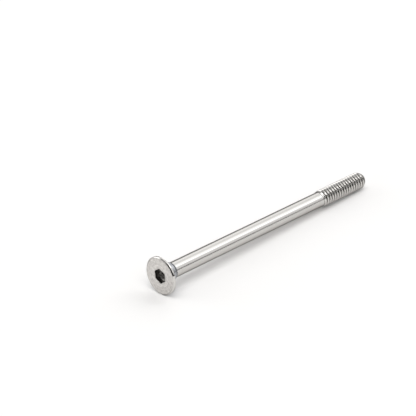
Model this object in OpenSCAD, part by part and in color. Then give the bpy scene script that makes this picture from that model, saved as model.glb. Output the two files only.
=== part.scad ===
// Flat-head connector bolt with a hex socket, for joining furniture panels.
// The head is a thin disc. The collar behind it is wide enough to hold the socket,
// a cone leads from the collar to the plain shank, and the far end has a rolled thread.
// The bolt lies as it comes to rest, on the rim of its head and on a crest near its tip.
// The origin is on the surface that it lies on, below the middle of its box.
// The tip points along +X, and +Z is up.

/* [Head] */
// Diameter of the head
head_d = 13.6; // [11:0.1:20]
// Thickness of the head at its rim, with the chamfer
head_t = 0.9; // [0.7:0.05:2]
// Width of the chamfer round the face
face_chamfer = 0.35; // [0.1:0.05:0.45]
// Radius of the edge between the rim and the underside
rim_round = 0.12; // [0.05:0.01:0.2]

/* [Collar] */
// Diameter of the collar
collar_d = 6.8; // [6.4:0.1:9]
// Length of the collar, from the underside of the head to its cone
collar_len = 3.6; // [2.2:0.1:8]
// Radius of the fillet between the head and the collar
collar_fillet = 0.25; // [0.1:0.05:0.6]
// Length of the cone between the collar and the shank
cone_len = 0.9; // [0.5:0.1:4]

/* [Socket] */
// Width of the hexagon across its flats
socket_af = 4.76; // [3:0.01:5.2]
// Depth of the hexagon, from the face
socket_depth = 2.9; // [1.5:0.1:3.4]
// Full angle of the pointed bottom
socket_point_angle = 140; // [110:1:160]
// Turn of the hexagon about the bolt's axis
socket_turn = 55; // [0:1:60]

/* [Shank] */
// Diameter of the plain shank
shank_d = 5.5; // [5:0.05:6.2]
// Length of the bolt, from the underside of the head to the tip
length = 100; // [60:0.1:200]

/* [Thread] */
// Diameter over the crests
thread_d = 6.35; // [6.25:0.01:7]
// Distance from one crest to the next
thread_pitch = 1.27; // [0.8:0.01:1.5]
// Length of the full thread, from the tip
thread_len = 20.8; // [10:0.1:40]
// Length over which the thread grows out of the shank
runout_len = 2.5; // [1:0.1:6]
// Full angle between the two sides of the groove
flank_angle = 60; // [50:1:65]
// Width of the flat on the crest
crest_flat = 0.16; // [0.08:0.01:0.2]
// Radius of the bottom of the groove
root_round = 0.18; // [0.1:0.01:0.2]

/* [Tip] */
// Diameter of the flat end
tip_d = 4.7; // [3:0.1:4.8]
// Length of the chamfer at the tip
tip_len = 1.4; // [0.5:0.1:3]

/* [Smoothness] */
// Facets in one turn of the thread
thread_facets = 32; // [16:4:48]
// Steps in each rounded edge
round_steps = 4; // [2:1:8]

/* [Hidden] */
head_r = head_d / 2;
face_r = head_r - face_chamfer;
collar_r = collar_d / 2;
collar_end = head_t + collar_len;
cone_end = collar_end + cone_len;
shank_r = shank_d / 2;
overall = head_t + length;
thread_r = thread_d / 2;
thread_start = overall - thread_len - runout_len;
// The thread's plain core reaches one pitch back from the run-out, and the shank covers half of that
core_lead = thread_pitch;
core_start = thread_start - core_lead;
shank_end = thread_start - core_lead / 2;
thread_total = overall - core_start;
tip_r = tip_d / 2;
hex_corners = 6;
socket_d = socket_af / cos(180 / hex_corners);
point_len = socket_af / 2 / tan(socket_point_angle / 2);
// The cuts start this far outside the surface
over = 0.5;
// The core lies this much inside the shank's surface, so that the shank ends on a flat ring
core_step = 0.01;
core_r = shank_r - core_step;

// The groove's round bottom meets its sides here, measured from the deepest point
flank = flank_angle / 2;
root_half = root_round * cos(flank);
root_rise = root_round * (1 - sin(flank));
crest_half = crest_flat / 2;
flank_width = thread_pitch / 2 - crest_half - root_half;
root_r = thread_r - flank_width / tan(flank) - root_rise;
// One pitch of the thread from groove to groove: place along the axis, distance from the axis
profile = [
    [0, root_r],
    [root_half, root_r + root_rise],
    [thread_pitch / 2 - crest_half, thread_r],
    [thread_pitch / 2 + crest_half, thread_r],
    [thread_pitch - root_half, root_r + root_rise]
];
profile_points = len(profile);
// The helix climbs this much from one facet to the next
climb = thread_pitch / thread_facets;
// The helix starts one turn below the thread's first plane, and ends one turn above its last one
first_step = -thread_facets;
last_step = ceil(thread_total / climb) + 1;

// The bolt lies on two points: the back edge of the rim, and the last full crest on its lower side
rim_z = head_t - rim_round;
last_turn = floor((thread_total - tip_len - crest_half) / thread_pitch - 1 / 2);
crest_z = core_start + (last_turn + 1 / 2) * thread_pitch + crest_half;
tilt = atan((head_r - thread_r) / (crest_z - rim_z));
lift = rim_z * sin(tilt) + head_r * cos(tilt);
// The box runs from the lower edge of the face to the upper edge of the tip
box_start = -face_r * sin(tilt);
box_end = overall * cos(tilt) + tip_r * sin(tilt);

// Points of an arc in the plane of distance and height
function arc(centre, r, from, to) = [
    for (i = [0 : round_steps])
        let (a = from + (to - from) * i / round_steps)
        centre + r * [cos(a), sin(a)]
];

// Share of its height that the thread has reached at this place
function grown(z) = let (u = min(max((z - core_lead) / runout_len, 0), 1)) u * u * (3 - 2 * u);

// Radius that the tip's chamfer leaves
function chamfer_r(z) = tip_r + (thread_total - z) * (thread_r - tip_r) / tip_len;

// Radius of the thread's point q at this place
function thread_point_r(z, q) = min(core_r + grown(z) * (profile[q][1] - core_r), chamfer_r(z));

// Place along the axis of point q after so many steps round the helix
function thread_point_z(s, q) = s * climb + profile[q][0];

// A point on the surface, from its angle step, its radius and its place along the axis
function on_circle(s, r, z) = [r * cos(s * 360 / thread_facets), r * sin(s * 360 / thread_facets), z];

// Number of a point in the list. Points before the start or past the end fall on the end rings.
function number(s, q) =
    q == profile_points ? number(s + thread_facets, 0) :
    let (z = thread_point_z(s, q), ring_place = (s + thread_facets) % thread_facets)
    z < climb / 2 ? ring_place :
    z > thread_total - climb / 2 ? thread_facets + ring_place :
    2 * thread_facets + (s - first_step) * profile_points + q;

// A triangle, or nothing where two of its corners are one point
function triangle(a, b, c) = a == b || b == c || c == a ? [] : [[a, b, c]];

// The rolled thread with its core. It starts as a plain round, grows to its full height
// over the run-out, and is cut back by the chamfer at the tip.
module thread() {
    rings = [
        for (i = [0 : thread_facets - 1]) on_circle(i, core_r, 0),
        for (i = [0 : thread_facets - 1]) on_circle(i, tip_r, thread_total)
    ];
    helix = [
        for (s = [first_step : last_step + thread_facets], q = [0 : profile_points - 1])
            let (z = min(max(thread_point_z(s, q), 0), thread_total))
            on_circle(s, thread_point_r(z, q), z)
    ];
    sides = [
        for (s = [first_step : last_step - 1], q = [0 : profile_points - 1])
            let (
                a = number(s, q),
                b = number(s, q + 1),
                c = number(s + 1, q + 1),
                d = number(s + 1, q)
            )
            each concat(triangle(a, b, c), triangle(a, c, d))
    ];
    start_face = [for (i = [0 : thread_facets - 1]) i];
    end_face = [for (i = [thread_facets - 1 : -1 : 0]) thread_facets + i];
    polyhedron(points = concat(rings, helix), faces = concat([start_face, end_face], sides), convexity = 10);
}

// Head, collar, cone and plain shank, turned about the axis
module turned_body() {
    rotate_extrude($fn = 96)
        polygon(concat(
            [[0, 0], [face_r, 0], [head_r, face_chamfer]],
            arc([head_r - rim_round, rim_z], rim_round, 0, 90),
            arc([collar_r + collar_fillet, head_t + collar_fillet], collar_fillet, 270, 180),
            [[collar_r, collar_end], [shank_r, cone_end], [shank_r, shank_end], [0, shank_end]]
        ));
}

// Hexagon with a pointed bottom
module socket() {
    rotate([0, 0, socket_turn]) {
        translate([0, 0, -over])
            cylinder(h = over + socket_depth, d = socket_d, $fn = hex_corners);
        translate([0, 0, socket_depth])
            cylinder(h = point_len, d1 = socket_af, d2 = 0, $fn = 48);
    }
}

// The bolt, standing on its face
module upright_bolt() {
    difference() {
        turned_body();
        socket();
    }
    translate([0, 0, core_start])
        thread();
}

module bolt() {
    color("silver")
        translate([-(box_start + box_end) / 2, 0, lift])
            rotate([0, 90 + tilt, 0])
                upright_bolt();
}

bolt();
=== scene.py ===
import math

import bmesh
import bpy
from mathutils import Matrix, Vector


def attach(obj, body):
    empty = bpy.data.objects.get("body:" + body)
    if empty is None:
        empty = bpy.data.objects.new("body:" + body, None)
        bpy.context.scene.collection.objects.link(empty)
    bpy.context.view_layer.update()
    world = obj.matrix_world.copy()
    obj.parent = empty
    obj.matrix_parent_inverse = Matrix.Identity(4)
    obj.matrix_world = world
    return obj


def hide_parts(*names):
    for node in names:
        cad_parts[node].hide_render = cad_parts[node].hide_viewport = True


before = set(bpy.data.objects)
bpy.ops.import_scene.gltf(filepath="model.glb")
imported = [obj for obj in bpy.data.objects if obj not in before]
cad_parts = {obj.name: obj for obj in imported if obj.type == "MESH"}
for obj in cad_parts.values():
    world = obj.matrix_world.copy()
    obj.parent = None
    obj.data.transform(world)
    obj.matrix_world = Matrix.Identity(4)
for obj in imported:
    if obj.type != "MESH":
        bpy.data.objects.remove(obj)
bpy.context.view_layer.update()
print("frame loaded")

millimetre = 0.001


def addNode(tree, kind, inputs=None, out=0, **settings):
    # adds a node with its settings, fills or links its inputs, and gives back one output
    node = tree.nodes.new(kind)
    for name, value in settings.items():
        setattr(node, name, value)
    for name, value in (inputs or {}).items():
        if isinstance(value, bpy.types.NodeSocket):
            tree.links.new(value, node.inputs[name])
        else:
            node.inputs[name].default_value = value
    return node.outputs[out]


def hexColour(text):
    # sRGB hex to linear, with alpha
    channels = [int(text[i:i + 2], 16) / 255 for i in (1, 3, 5)]
    return [c / 12.92 if c <= 0.04045 else ((c + 0.055) / 1.055) ** 2.4 for c in channels] + [1.0]


# Sizes of the bolt in millimetres, along its axis from the face
boltSizes = {
    "headRadius": 6.8,
    "headThickness": 0.9,
    "faceChamfer": 0.35,
    "rimRound": 0.12,
    "edgeRound": 0.05,         # broken edges of the chamfer
    "collarRadius": 3.4,
    "collarLength": 3.6,
    "collarFillet": 0.25,
    "coneLength": 0.9,
    "coneRound": 0.5,          # soft turns between collar, cone and shank
    "shankRadius": 2.75,
    "lengthUnderHead": 100.0,
    "socketFlat": 2.38,        # from the axis to a flat of the hexagon
    "socketCorner": 2.7,       # the punch's corners are blunt at this radius
    "socketDepth": 2.9,
    "socketPoint": 0.87,       # height of the pointed bottom
    "socketEdge": 0.05,        # broken edge at the socket's mouth
    "socketTurn": 55.0,        # degrees about the axis
    "sides": 144,              # facets round the axis, a multiple of six for the hexagon
    "supportEdge": 0.03,       # keeps the flats flat beside a rounded edge
    "roundSteps": 5,           # steps in each rounded edge
    "mouthRings": 2,           # rings from the face over the broken edge to the socket's wall
    "faceSlack": 0.001,        # what lies this near to the face's plane has the face's finish
    "weldDistance": 0.0005,    # joins the thread's first ring to the shank's last one
}
threadSizes = {
    "Thread Radius": 3.175,
    "Shank Radius": boltSizes["shankRadius"],
    "Root Radius": 2.396,
    "Pitch": 1.27,
    "Crest Flat": 0.16,
    "Flank Angle": math.radians(60.0),
    "Crest Round": 0.12,
    "Root Round": 0.1,
    "Thread Length": 23.3,     # with the run-out
    "Run Out": 2.5,
    "Tip Radius": 2.35,
    "Tip Length": 1.4,
    "Tip Round": 0.05,
    "Steps per Turn": boltSizes["sides"],
    "Points per Pitch": 20,
    "Weld Distance": 0.0001,   # joins each turn to the next one and closes the end
}
overall = boltSizes["headThickness"] + boltSizes["lengthUnderHead"]
threadStart = overall - threadSizes["Thread Length"]


def boltPlace():
    # the bolt lies on the back edge of its rim and on the last full crest of its thread,
    # and each turn has its crest halfway along its pitch
    sizes, thread = boltSizes, threadSizes
    crestHalf = thread["Crest Flat"] / 2
    rimZ = sizes["headThickness"] - sizes["rimRound"]
    fullThread = thread["Thread Length"] - thread["Tip Length"] - crestHalf
    lastTurn = math.floor(fullThread / thread["Pitch"] - 0.5)
    crestZ = threadStart + (lastTurn + 0.5) * thread["Pitch"] + crestHalf
    tilt = math.atan((sizes["headRadius"] - thread["Thread Radius"]) / (crestZ - rimZ))
    lift = rimZ * math.sin(tilt) + sizes["headRadius"] * math.cos(tilt)
    faceRadius = sizes["headRadius"] - sizes["faceChamfer"]
    start = -faceRadius * math.sin(tilt)
    end = overall * math.cos(tilt) + thread["Tip Radius"] * math.sin(tilt)
    lying = Matrix.Rotation(math.pi / 2 + tilt, 4, "Y")
    return Matrix.Scale(millimetre, 4) @ Matrix.Translation((-(start + end) / 2, 0, lift)) @ lying


place = boltPlace()
towardsAxis = place.inverted()                 # from the scene's metres to the bolt's own millimetres


# Finishes. Their patterns read the bolt's own millimetres, so that rings and streaks follow the axis.
# An edge tint is what the metal reflects at a grazing view, and darkens the outlines of round parts.
finishes = {
    "turnedNickel": {"colour": "#EBE8E5", "secondColour": "#A19E9A", "roughness": 0.24,
                     "ringWidth": 0.5, "ringDepth": 0.008, "blotchSize": 1.1, "blotchShare": 0.5,
                     "noiseDetail": 3.0, "noiseRoughness": 0.6, "wornFrom": 0.32, "wornTo": 0.68},
    "brightEdge": {"colour": "#D2D0CD", "roughness": 0.1, "edgeTint": "#646260"},
    # the neck's darker, cooler colour is partly its forged finish and partly painted shade under the head
    "forgedShadedNeck": {"colour": "#A6A8AC", "roughness": 0.26, "grainSize": 0.9, "grainDepth": 0.04,
                   "grainDetail": 2.0, "edgeTint": "#8C8A88"},
    "polishedNickel": {"colour": "#CAC8C5", "roughness": 0.14, "streakWidth": 0.5, "streakDepth": 0.002,
                       "streakDetail": 2.0, "streakSlope": 0.03, "edgeTint": "#7C7A78"},
    # the thread's second colour is painted shade in its grooves, laid on over the given share of their
    # depth
    "rolledNickel": {"colour": "#D0CECB", "roughness": 0.14, "grooveShadeColour": "#4E4C49",
                     "shadeFrom": 0.32, "shadeTo": 0.95, "edgeTint": "#4A4846"},
    # the socket's colour is darker than the outside as painted shade in the recess
    "punchedNickel": {"colour": "#605E5B", "roughness": 0.07, "grainSize": 0.9, "grainDepth": 0.14,
                      "grainDetail": 3.0},
}


def startFinish(name):
    # a metal with the finish's own colour, gloss and edge tint
    material = bpy.data.materials.new(name)
    material.use_nodes = True
    tree = material.node_tree
    shader = tree.nodes["Principled BSDF"]
    shader.inputs["Base Color"].default_value = hexColour(finishes[name]["colour"])
    shader.inputs["Metallic"].default_value = 1.0
    shader.inputs["Roughness"].default_value = finishes[name]["roughness"]
    if "edgeTint" in finishes[name]:
        shader.inputs["Specular Tint"].default_value = hexColour(finishes[name]["edgeTint"])
    return material, tree, shader


def placeOnBolt(tree):
    # the place on the bolt: across the axis in x and y, along it in z, in millimetres
    where = addNode(tree, "ShaderNodeTexCoord", out="Object")
    turn = towardsAxis.to_3x3().normalized().to_euler()
    shift = towardsAxis.translation
    return addNode(tree, "ShaderNodeMapping", {
        "Vector": where, "Location": shift, "Rotation": turn, "Scale": [1 / millimetre] * 3})


def fromAxis(tree, inAxis):
    # distance from the axis in millimetres
    across = addNode(tree, "ShaderNodeVectorMath", {0: inAxis, 1: (1, 1, 0)}, operation="MULTIPLY")
    return addNode(tree, "ShaderNodeVectorMath", {0: across}, out="Value", operation="LENGTH")


def addBump(tree, shader, height, depth):
    # presses a pattern into the surface, this many millimetres deep
    bump = addNode(tree, "ShaderNodeBump", {
        "Height": height, "Strength": 1.0, "Distance": depth * millimetre})
    tree.links.new(bump, shader.inputs["Normal"])


def unevenFinish(name):
    # a metal whose surface swells and sinks softly
    look = finishes[name]
    material, tree, shader = startFinish(name)
    grain = addNode(tree, "ShaderNodeTexNoise", {
        "Vector": placeOnBolt(tree), "Scale": 1 / look["grainSize"], "Detail": look["grainDetail"]})
    addBump(tree, shader, grain, look["grainDepth"])
    return material


def turnedNickel():
    # nickel plate over a faced surface: fine rings round the centre and faint blotches, with a soft sheen
    look = finishes["turnedNickel"]
    material, tree, shader = startFinish("turnedNickel")
    inAxis = placeOnBolt(tree)
    reach = fromAxis(tree, inAxis)
    rings = addNode(tree, "ShaderNodeTexNoise", {
        "W": reach, "Scale": 1 / look["ringWidth"],
        "Detail": look["noiseDetail"], "Roughness": look["noiseRoughness"]}, noise_dimensions="1D")
    blotches = addNode(tree, "ShaderNodeTexNoise", {
        "Vector": inAxis, "Scale": 1 / look["blotchSize"],
        "Detail": look["noiseDetail"], "Roughness": look["noiseRoughness"]})
    worn = addNode(tree, "ShaderNodeMix", {0: look["blotchShare"], 2: rings, 3: blotches})
    worn = addNode(tree, "ShaderNodeMapRange", {
        "Value": worn, "From Min": look["wornFrom"], "From Max": look["wornTo"]})
    colour = addNode(tree, "ShaderNodeMix", {
        0: worn, 6: hexColour(look["secondColour"]), 7: hexColour(look["colour"])}, out=2, data_type="RGBA")
    tree.links.new(colour, shader.inputs["Base Color"])
    addBump(tree, shader, rings, look["ringDepth"])
    return material


def brightEdge():
    # the head's chamfer and rim, cut last: a clean mirror edge with hard dark and light lines
    material, tree, shader = startFinish("brightEdge")
    return material


def forgedShadedNeck():
    # nickel plate over the collar and cone, left as forged: cool, softly uneven reflections, and a darker
    # colour that is partly the forged finish and partly painted shade under the head
    return unevenFinish("forgedShadedNeck")


def polishedNickel():
    # nickel plate over a drawn and polished bar: clear reflections with faint streaks along it
    look = finishes["polishedNickel"]
    material, tree, shader = startFinish("polishedNickel")
    along = addNode(tree, "ShaderNodeVectorMath", {
        0: placeOnBolt(tree), 1: (1, 1, look["streakSlope"])}, operation="MULTIPLY")
    streaks = addNode(tree, "ShaderNodeTexNoise", {
        "Vector": along, "Scale": 1 / look["streakWidth"], "Detail": look["streakDetail"]})
    addBump(tree, shader, streaks, look["streakDepth"])
    return material


def rolledNickel():
    # nickel plate over a rolled thread: bright crests, with painted shade that darkens the grooves towards
    # their roots
    look = finishes["rolledNickel"]
    material, tree, shader = startFinish("rolledNickel")
    depth = addNode(tree, "ShaderNodeAttribute", out="Fac", attribute_name="grooveDepth")
    grooveShade = addNode(tree, "ShaderNodeMapRange", {
        "Value": depth, "From Min": look["shadeFrom"], "From Max": look["shadeTo"]},
        interpolation_type="SMOOTHSTEP")
    # painted shade: the colour darkens towards the roots of the grooves
    colour = addNode(tree, "ShaderNodeMix", {
        0: grooveShade, 6: hexColour(look["colour"]), 7: hexColour(look["grooveShadeColour"])}, out=2, data_type="RGBA")
    tree.links.new(colour, shader.inputs["Base Color"])
    return material


def punchedNickel():
    # the socket's walls: punched steel, torn uneven, with painted shade that makes them darker than the
    # outside
    return unevenFinish("punchedNickel")


boltFinishes = [
    turnedNickel(), brightEdge(), forgedShadedNeck(), polishedNickel(), rolledNickel(), punchedNickel()]
faceFinish, edgeFinish, neckFinish, shankFinish, threadFinish, socketFinish = range(len(boltFinishes))
print("finishes made")


def buildThreadTree():
    # a helix of thread profiles whose points before the start and past the tip are held in the end planes
    tree = bpy.data.node_groups.new("rolledThread", "GeometryNodeTree")
    for name, value in threadSizes.items():
        kind = "NodeSocketInt" if isinstance(value, int) else "NodeSocketFloat"
        tree.interface.new_socket(name, in_out="INPUT", socket_type=kind)
    tree.interface.new_socket("Material", in_out="INPUT", socket_type="NodeSocketMaterial")
    tree.interface.new_socket("Geometry", in_out="OUTPUT", socket_type="NodeSocketGeometry")
    source = tree.nodes.new("NodeGroupInput").outputs
    pitch, steps, points = source["Pitch"], source["Steps per Turn"], source["Points per Pitch"]
    total = source["Thread Length"]

    # one turn more than the thread has at each end, with one row of the grid for each step round the axis
    turns = addNode(tree, "ShaderNodeMath", {0: total, 1: pitch}, operation="DIVIDE")
    turns = addNode(tree, "ShaderNodeMath", {0: turns}, operation="CEIL")
    turns = addNode(tree, "ShaderNodeMath", {0: turns, 1: 2.0}, operation="ADD")
    rows = addNode(tree, "ShaderNodeMath", {0: turns, 1: steps, 2: 1.0}, operation="MULTIPLY_ADD")
    rowPoints = addNode(tree, "FunctionNodeIntegerMath", {0: points, 1: 1}, operation="ADD")
    grid = addNode(tree, "GeometryNodeMeshGrid", {"Vertices X": rows, "Vertices Y": rowPoints}, out="Mesh")
    index = addNode(tree, "GeometryNodeInputIndex")
    step = addNode(tree, "FunctionNodeIntegerMath", {0: index, 1: rowPoints}, operation="DIVIDE_FLOOR")
    point = addNode(tree, "FunctionNodeIntegerMath", {0: index, 1: rowPoints}, operation="MODULO")
    turned = addNode(tree, "ShaderNodeMath", {0: step, 1: steps}, operation="DIVIDE")
    share = addNode(tree, "ShaderNodeMath", {0: point, 1: points}, operation="DIVIDE")

    # place along the axis
    climbed = addNode(tree, "ShaderNodeMath", {0: turned, 1: share}, operation="ADD")
    climbed = addNode(tree, "ShaderNodeMath", {0: climbed, 1: 1.0}, operation="SUBTRACT")
    along = addNode(tree, "ShaderNodeMath", {0: climbed, 1: pitch}, operation="MULTIPLY")
    along = addNode(tree, "ShaderNodeClamp", {"Value": along, "Min": 0.0, "Max": total})

    # radius of the profile: two flanks, a flat crest and a round root
    off = addNode(tree, "ShaderNodeMath", {0: share, 1: 0.5}, operation="SUBTRACT")
    off = addNode(tree, "ShaderNodeMath", {0: off}, operation="ABSOLUTE")
    off = addNode(tree, "ShaderNodeMath", {0: off, 1: pitch}, operation="MULTIPLY")
    crestHalf = addNode(tree, "ShaderNodeMath", {0: source["Crest Flat"], 1: 0.5}, operation="MULTIPLY")
    offCrest = addNode(tree, "ShaderNodeMath", {0: off, 1: crestHalf}, operation="SUBTRACT")
    half = addNode(tree, "ShaderNodeMath", {0: source["Flank Angle"], 1: 0.5}, operation="MULTIPLY")
    slope = addNode(tree, "ShaderNodeMath", {0: half}, operation="TANGENT")
    drop = addNode(tree, "ShaderNodeMath", {0: offCrest, 1: slope}, operation="DIVIDE")
    flank = addNode(tree, "ShaderNodeMath", {0: source["Thread Radius"], 1: drop}, operation="SUBTRACT")
    crest = addNode(tree, "ShaderNodeMath", {
        0: flank, 1: source["Thread Radius"], 2: source["Crest Round"]}, operation="SMOOTH_MIN")
    profile = addNode(tree, "ShaderNodeMath", {
        0: crest, 1: source["Root Radius"], 2: source["Root Round"]}, operation="SMOOTH_MAX")

    # the thread grows out of the shank over the run-out, and the tip's chamfer cuts it back
    grown = addNode(tree, "ShaderNodeMapRange", {
        "Value": along, "From Min": 0.0, "From Max": source["Run Out"]},
        interpolation_type="SMOOTHSTEP")
    height = addNode(tree, "ShaderNodeMath", {0: profile, 1: source["Shank Radius"]}, operation="SUBTRACT")
    radius = addNode(tree, "ShaderNodeMath", {
        0: grown, 1: height, 2: source["Shank Radius"]}, operation="MULTIPLY_ADD")
    left = addNode(tree, "ShaderNodeMath", {0: total, 1: along}, operation="SUBTRACT")
    fall = addNode(tree, "ShaderNodeMath", {
        0: source["Thread Radius"], 1: source["Tip Radius"]}, operation="SUBTRACT")
    fall = addNode(tree, "ShaderNodeMath", {0: fall, 1: source["Tip Length"]}, operation="DIVIDE")
    chamfer = addNode(tree, "ShaderNodeMath", {
        0: left, 1: fall, 2: source["Tip Radius"]}, operation="MULTIPLY_ADD")
    radius = addNode(tree, "ShaderNodeMath", {
        0: radius, 1: chamfer, 2: source["Tip Round"]}, operation="SMOOTH_MIN")

    # how deep in a groove each point is, from crest to root, which sets the painted shade in the grooves
    depth = addNode(tree, "ShaderNodeMapRange", {
        "Value": profile, "From Min": source["Thread Radius"], "From Max": source["Root Radius"]})
    depth = addNode(tree, "ShaderNodeMath", {0: depth, 1: grown}, operation="MULTIPLY")

    angle = addNode(tree, "ShaderNodeMath", {0: turned, 1: math.tau}, operation="MULTIPLY")
    cosine = addNode(tree, "ShaderNodeMath", {0: angle}, operation="COSINE")
    sine = addNode(tree, "ShaderNodeMath", {0: angle}, operation="SINE")
    x = addNode(tree, "ShaderNodeMath", {0: cosine, 1: radius}, operation="MULTIPLY")
    y = addNode(tree, "ShaderNodeMath", {0: sine, 1: radius}, operation="MULTIPLY")
    position = addNode(tree, "ShaderNodeCombineXYZ", {"X": x, "Y": y, "Z": along})
    helix = addNode(tree, "GeometryNodeSetPosition", {"Geometry": grid, "Position": position})
    helix = addNode(tree, "GeometryNodeStoreNamedAttribute", {
        "Geometry": helix, "Name": "grooveDepth", "Value": depth}, data_type="FLOAT", domain="POINT")

    # the flat end
    lifted = addNode(tree, "ShaderNodeCombineXYZ", {"Z": total})
    cap = addNode(tree, "GeometryNodeMeshCircle", {
        "Vertices": steps, "Radius": source["Tip Radius"]}, fill_type="TRIANGLE_FAN")
    cap = addNode(tree, "GeometryNodeTransform", {"Geometry": cap, "Translation": lifted})
    joined = tree.nodes.new("GeometryNodeJoinGeometry")
    tree.links.new(helix, joined.inputs[0])
    tree.links.new(cap, joined.inputs[0])
    welded = addNode(tree, "GeometryNodeMergeByDistance", {
        "Geometry": joined.outputs[0], "Distance": source["Weld Distance"]})
    real = addNode(tree, "GeometryNodeRealizeInstances", {"Geometry": welded})
    done = addNode(tree, "GeometryNodeSetMaterial", {"Geometry": real, "Material": source["Material"]})
    tree.links.new(done, tree.nodes.new("NodeGroupOutput").inputs[0])
    return tree


def makeThread():
    # the evaluated helix as a plain mesh, in the bolt's own millimetres
    tree = buildThreadTree()
    thread = bpy.data.objects.new("threadHelix", bpy.data.meshes.new("threadHelix"))
    bpy.context.scene.collection.objects.link(thread)
    modifier = thread.modifiers.new("rolledThread", "NODES")
    modifier.node_group = tree
    values = dict(threadSizes, Material=boltFinishes[threadFinish])
    for item in tree.interface.items_tree:
        if item.in_out == "INPUT":
            modifier[item.identifier] = values[item.name]
    thread.update_tag()
    graph = bpy.context.evaluated_depsgraph_get()
    mesh = bpy.data.meshes.new_from_object(thread.evaluated_get(graph))
    mesh.transform(Matrix.Translation((0, 0, threadStart)))
    bpy.data.objects.remove(thread)
    print("thread made,", len(mesh.polygons), "faces")
    return mesh


def roundedCorners(corners):
    # a path through corners (along, radius, rounding), with an arc and support points at each rounded one
    sizes = boltSizes
    path = []
    for before, corner, after in zip([corners[0]] + corners, corners, corners[1:] + [corners[-1]]):
        here, rounding = Vector(corner[:2]), corner[2]
        if not rounding:
            path.append(here)
            continue
        back = (Vector(before[:2]) - here).normalized()
        on = (Vector(after[:2]) - here).normalized()
        half = back.angle(on) / 2
        reach = rounding / math.tan(half)
        centre = here + (back + on).normalized() * (rounding / math.sin(half))
        first, last = here + back * reach - centre, here + on * reach - centre
        sweep = math.pi - 2 * half
        side = 1 if first.x * last.y - first.y * last.x > 0 else -1
        path.append(here + back * (reach + sizes["supportEdge"]))
        for i in range(sizes["roundSteps"] + 1):
            bend = side * sweep * i / sizes["roundSteps"]
            turned = Vector((first.x * math.cos(bend) - first.y * math.sin(bend),
                             first.x * math.sin(bend) + first.y * math.cos(bend)))
            path.append(centre + turned)
        path.append(here + on * (reach + sizes["supportEdge"]))
    return path


def hexReach(angle, flat):
    # distance from the axis to the hexagon's wall, with blunt corners
    sixth = math.pi / 3
    turn = (angle - math.radians(boltSizes["socketTurn"])) % sixth - sixth / 2
    blunt = boltSizes["socketCorner"] + flat - boltSizes["socketFlat"]
    return min(flat / math.cos(turn), blunt)


def makeBody(bm):
    # rings round the axis, from the thread back over the head and down into the socket
    sizes = boltSizes
    head, collarEnd = sizes["headThickness"], sizes["headThickness"] + sizes["collarLength"]
    faceRadius = sizes["headRadius"] - sizes["faceChamfer"]
    outside = roundedCorners([
        (threadStart, sizes["shankRadius"], 0),
        (collarEnd + sizes["coneLength"], sizes["shankRadius"], sizes["coneRound"]),
        (collarEnd, sizes["collarRadius"], sizes["coneRound"]),
        (head, sizes["collarRadius"], sizes["collarFillet"]),
        (head, sizes["headRadius"], sizes["rimRound"]),
        (sizes["faceChamfer"], sizes["headRadius"], sizes["edgeRound"]),
        (0, faceRadius, sizes["edgeRound"]),
        (0, faceRadius / 2 + sizes["socketFlat"] / 2, 0),
    ])
    edge, flat, depth = sizes["socketEdge"], sizes["socketFlat"], sizes["socketDepth"]
    angles = [math.tau * i / sizes["sides"] for i in range(sizes["sides"])]
    rings = [[(r * math.cos(a), r * math.sin(a), z) for a in angles] for z, r in outside]
    past = edge + sizes["supportEdge"]
    inside = [(0, past), (0, edge), (edge, 0), (past, 0), (depth, 0)]      # along, and wider than the flats
    for z, wider in inside:
        reach = [hexReach(a, flat + wider) for a in angles]
        rings.append([(r * math.cos(a), r * math.sin(a), z) for a, r in zip(angles, reach)])
    rings.append([(flat * math.cos(a), flat * math.sin(a), depth) for a in angles])

    made = [[bm.verts.new(point) for point in ring] for ring in rings]
    for i, (ring, following) in enumerate(zip(made, made[1:])):
        z, r = outside[min(i, len(outside) - 1)]
        if i >= len(outside) + sizes["mouthRings"]:
            finish = socketFinish
        elif z < sizes["faceSlack"] and r < faceRadius:
            finish = faceFinish
        elif z < head - sizes["rimRound"] / 2:
            finish = edgeFinish
        elif z < collarEnd + sizes["coneLength"] + sizes["coneRound"] / 2:
            finish = neckFinish
        else:
            finish = shankFinish
        for j in range(sizes["sides"]):
            k = (j + 1) % sizes["sides"]
            face = bm.faces.new((ring[j], following[j], following[k], ring[k]))
            face.material_index = finish
    point = bm.verts.new((0, 0, depth + sizes["socketPoint"]))
    last = made[-1]
    for j in range(sizes["sides"]):
        bm.faces.new((last[j], point, last[(j + 1) % sizes["sides"]])).material_index = socketFinish


def makeBolt():
    # body and thread welded into one closed mesh, laid down in metres with its finishes
    bm = bmesh.new()
    makeBody(bm)
    bodyFaces = len(bm.faces)
    bm.from_mesh(makeThread())
    bm.faces.ensure_lookup_table()
    for face in bm.faces[bodyFaces:]:
        face.material_index = threadFinish
    bmesh.ops.remove_doubles(bm, verts=bm.verts, dist=boltSizes["weldDistance"])
    bmesh.ops.recalc_face_normals(bm, faces=bm.faces)
    for face in bm.faces:
        face.smooth = True
    bmesh.ops.transform(bm, matrix=place, verts=bm.verts)
    openEdges = sum(1 for e in bm.edges if len(e.link_faces) != 2)
    volume = round(bm.calc_volume() / millimetre ** 3, 1)
    mesh = bpy.data.meshes.new("dressedBolt")
    bm.to_mesh(mesh)
    print("bolt made,", len(bm.faces), "faces, open edges:", openEdges, "cubic millimetres:", volume)
    bm.free()
    for material in boltFinishes:
        mesh.materials.append(material)
    bolt = bpy.data.objects.new("dressedBolt", mesh)
    bpy.context.scene.collection.objects.link(bolt)
    return bolt


bolt = makeBolt()
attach(bolt, "root")
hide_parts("bolt")


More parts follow.
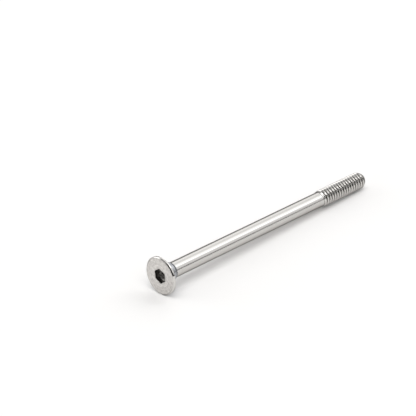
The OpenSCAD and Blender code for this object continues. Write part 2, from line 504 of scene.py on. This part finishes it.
# Studio: a white table under a soft tent that is dark on one side. Its lights are round patches of the
# sky round the bolt: where each one is, the cosines of its edge and of its core, and its strength.
# The lamps and tents light the table as well, and the cards, strip and fills draw lines in the metal.
studio = {
    "floorSize": 3.0,            # metres
    "floorColour": "#F4F3F2",
    "tent": 0.2,                 # strength of the tent overhead
    "tentLow": 0.16,             # sines of the heights between which the tent begins
    "tentFull": 0.42,
    "gloom": 0.03,               # share of the tent left on its dark side, and the least light anywhere
    "gloomSide": (-0.8, -0.38, 0.48),      # gives the head's chamfer its dark line
    "gloomEdge": 0.86,
    "gloomCore": 0.93,
}
lights = {
    "overhead": {"side": (-0.22, -0.12, 0.96), "edge": 0.89, "core": 0.975, "strength": 2.95},
    "frontLamp": {"side": (-0.26, -0.56, 0.79), "edge": 0.955, "core": 0.985, "strength": 2.5},
    "rightTent": {"side": (0.85, 0.1, 0.52), "edge": 0.74, "core": 0.84, "strength": 0.92},
    "shankStrip": {"side": (0.615, -0.27, 0.74), "edge": 0.95, "core": 0.99, "strength": 0.47},
    "frontFill": {"side": (0.42, -0.66, 0.62), "edge": 0.85, "core": 0.96, "strength": 0.28},
    "frontCard": {"side": (-0.15, -0.85, 0.5), "edge": 0.88, "core": 0.975, "strength": 0.7},
    "backRight": {"side": (0.6, 0.68, 0.42), "edge": 0.85, "core": 0.97, "strength": 0.4},
    "leftCard": {"side": (-0.978, 0.02, 0.19), "edge": 0.975, "core": 0.992, "strength": 4.2},
    "leftTent": {"side": (-0.83, 0.42, 0.42), "edge": 0.8, "core": 0.96, "strength": 0.22},
    "backCard": {"side": (-0.5, 0.8, 0.32), "edge": 0.9, "core": 0.975, "strength": 1.6},
    "backLow": {"side": (-0.05, 0.99, 0.08), "edge": 0.93, "core": 0.985, "strength": 0.9},
    "lowRight": {"side": (0.75, -0.55, 0.38), "edge": 0.9, "core": 0.965, "strength": 0.5},
    "horizonRight": {"side": (0.58, -0.8, 0.13), "edge": 0.93, "core": 0.985, "strength": 0.16},
}


def makeFloor():
    half = studio["floorSize"] / 2
    mesh = bpy.data.meshes.new("table")
    corners = [(-half, -half, 0), (half, -half, 0), (half, half, 0), (-half, half, 0)]
    mesh.from_pydata(corners, [], [range(len(corners))])
    table = bpy.data.objects.new("table", mesh)
    bpy.context.scene.collection.objects.link(table)
    material = bpy.data.materials.new("matteWhiteBoard")          # an even white that keeps soft shadows
    material.use_nodes = True
    shader = material.node_tree.nodes["Principled BSDF"]
    shader.inputs["Base Color"].default_value = hexColour(studio["floorColour"])
    shader.inputs["Roughness"].default_value = 1.0
    shader.inputs["Specular IOR Level"].default_value = 0.0
    mesh.materials.append(material)


def addPatch(tree, direction, side, edge, core, rim, middle):
    # a round patch of the studio: one strength in the middle, another past the edge
    towards = Vector(side).normalized()
    facing = addNode(tree, "ShaderNodeVectorMath", {
        0: direction, 1: towards}, out="Value", operation="DOT_PRODUCT")
    return addNode(tree, "ShaderNodeMapRange", {
        "Value": facing, "From Min": edge, "From Max": core, "To Min": rim, "To Max": middle},
        interpolation_type="SMOOTHSTEP")


def makeWorld():
    # the metal reflects the tent and its lights, and past the table the camera sees plain white
    world = bpy.data.worlds.new("tent")
    bpy.context.scene.world = world
    world.use_nodes = True
    tree = world.node_tree
    background = tree.nodes["Background"]
    direction = addNode(tree, "ShaderNodeTexCoord", out="Generated")
    height = addNode(tree, "ShaderNodeSeparateXYZ", {0: direction}, out="Z")
    tent = addNode(tree, "ShaderNodeMapRange", {
        "Value": height, "From Min": studio["tentLow"], "From Max": studio["tentFull"],
        "To Min": 0.0, "To Max": studio["tent"]}, interpolation_type="SMOOTHSTEP")
    gloom = addPatch(tree, direction, studio["gloomSide"], studio["gloomEdge"], studio["gloomCore"],
                     1.0, studio["gloom"])
    lit = addNode(tree, "ShaderNodeMath", {
        0: tent, 1: gloom, 2: studio["gloom"]}, operation="MULTIPLY_ADD")
    for light in lights.values():
        patch = addPatch(tree, direction, light["side"], light["edge"], light["core"],
                         0.0, light["strength"])
        lit = addNode(tree, "ShaderNodeMath", {0: lit, 1: patch}, operation="ADD")
    camera = addNode(tree, "ShaderNodeLightPath", out="Is Camera Ray")
    strength = addNode(tree, "ShaderNodeMix", {0: camera, 2: lit, 3: 1.0})
    tree.links.new(strength, background.inputs["Strength"])
    background.inputs["Color"].default_value = (1, 1, 1, 1)


# Camera of the photograph: where it stands, in millimetres from the middle of the face, and how it looks
cameraView = {
    "fromFace": (-356.57, -401.43, 305.21),
    "down": 27.62,               # degrees
    "aside": 43.446,             # degrees from +Y towards +X
    "roll": -3.275,              # degrees
    "lens": 161.4,               # millimetres
    "sensor": 36.0,              # millimetres
    "clipStart": 0.01,           # metres
    "clipEnd": 100.0,
}


def makeCamera():
    down, aside, roll = (math.radians(cameraView[k]) for k in ("down", "aside", "roll"))
    forward = Vector((math.sin(aside) * math.cos(down), math.cos(aside) * math.cos(down), -math.sin(down)))
    level = Vector((math.cos(aside), -math.sin(aside), 0))
    above = level.cross(forward)
    right = math.cos(roll) * level + math.sin(roll) * above
    up = -math.sin(roll) * level + math.cos(roll) * above
    data = bpy.data.cameras.new("camera")
    data.lens = cameraView["lens"]
    data.sensor_width = cameraView["sensor"]
    data.clip_start, data.clip_end = cameraView["clipStart"], cameraView["clipEnd"]
    camera = bpy.data.objects.new("camera", data)
    bpy.context.scene.collection.objects.link(camera)
    turn = Matrix((right, up, -forward)).transposed().to_4x4()
    stand = place @ Vector((0, 0, 0)) + Vector(cameraView["fromFace"]) * millimetre
    camera.matrix_world = Matrix.Translation(stand) @ turn
    bpy.context.scene.camera = camera


makeFloor()
makeWorld()
makeCamera()
bpy.context.scene.view_settings.view_transform = "Standard"
print("studio and camera made")
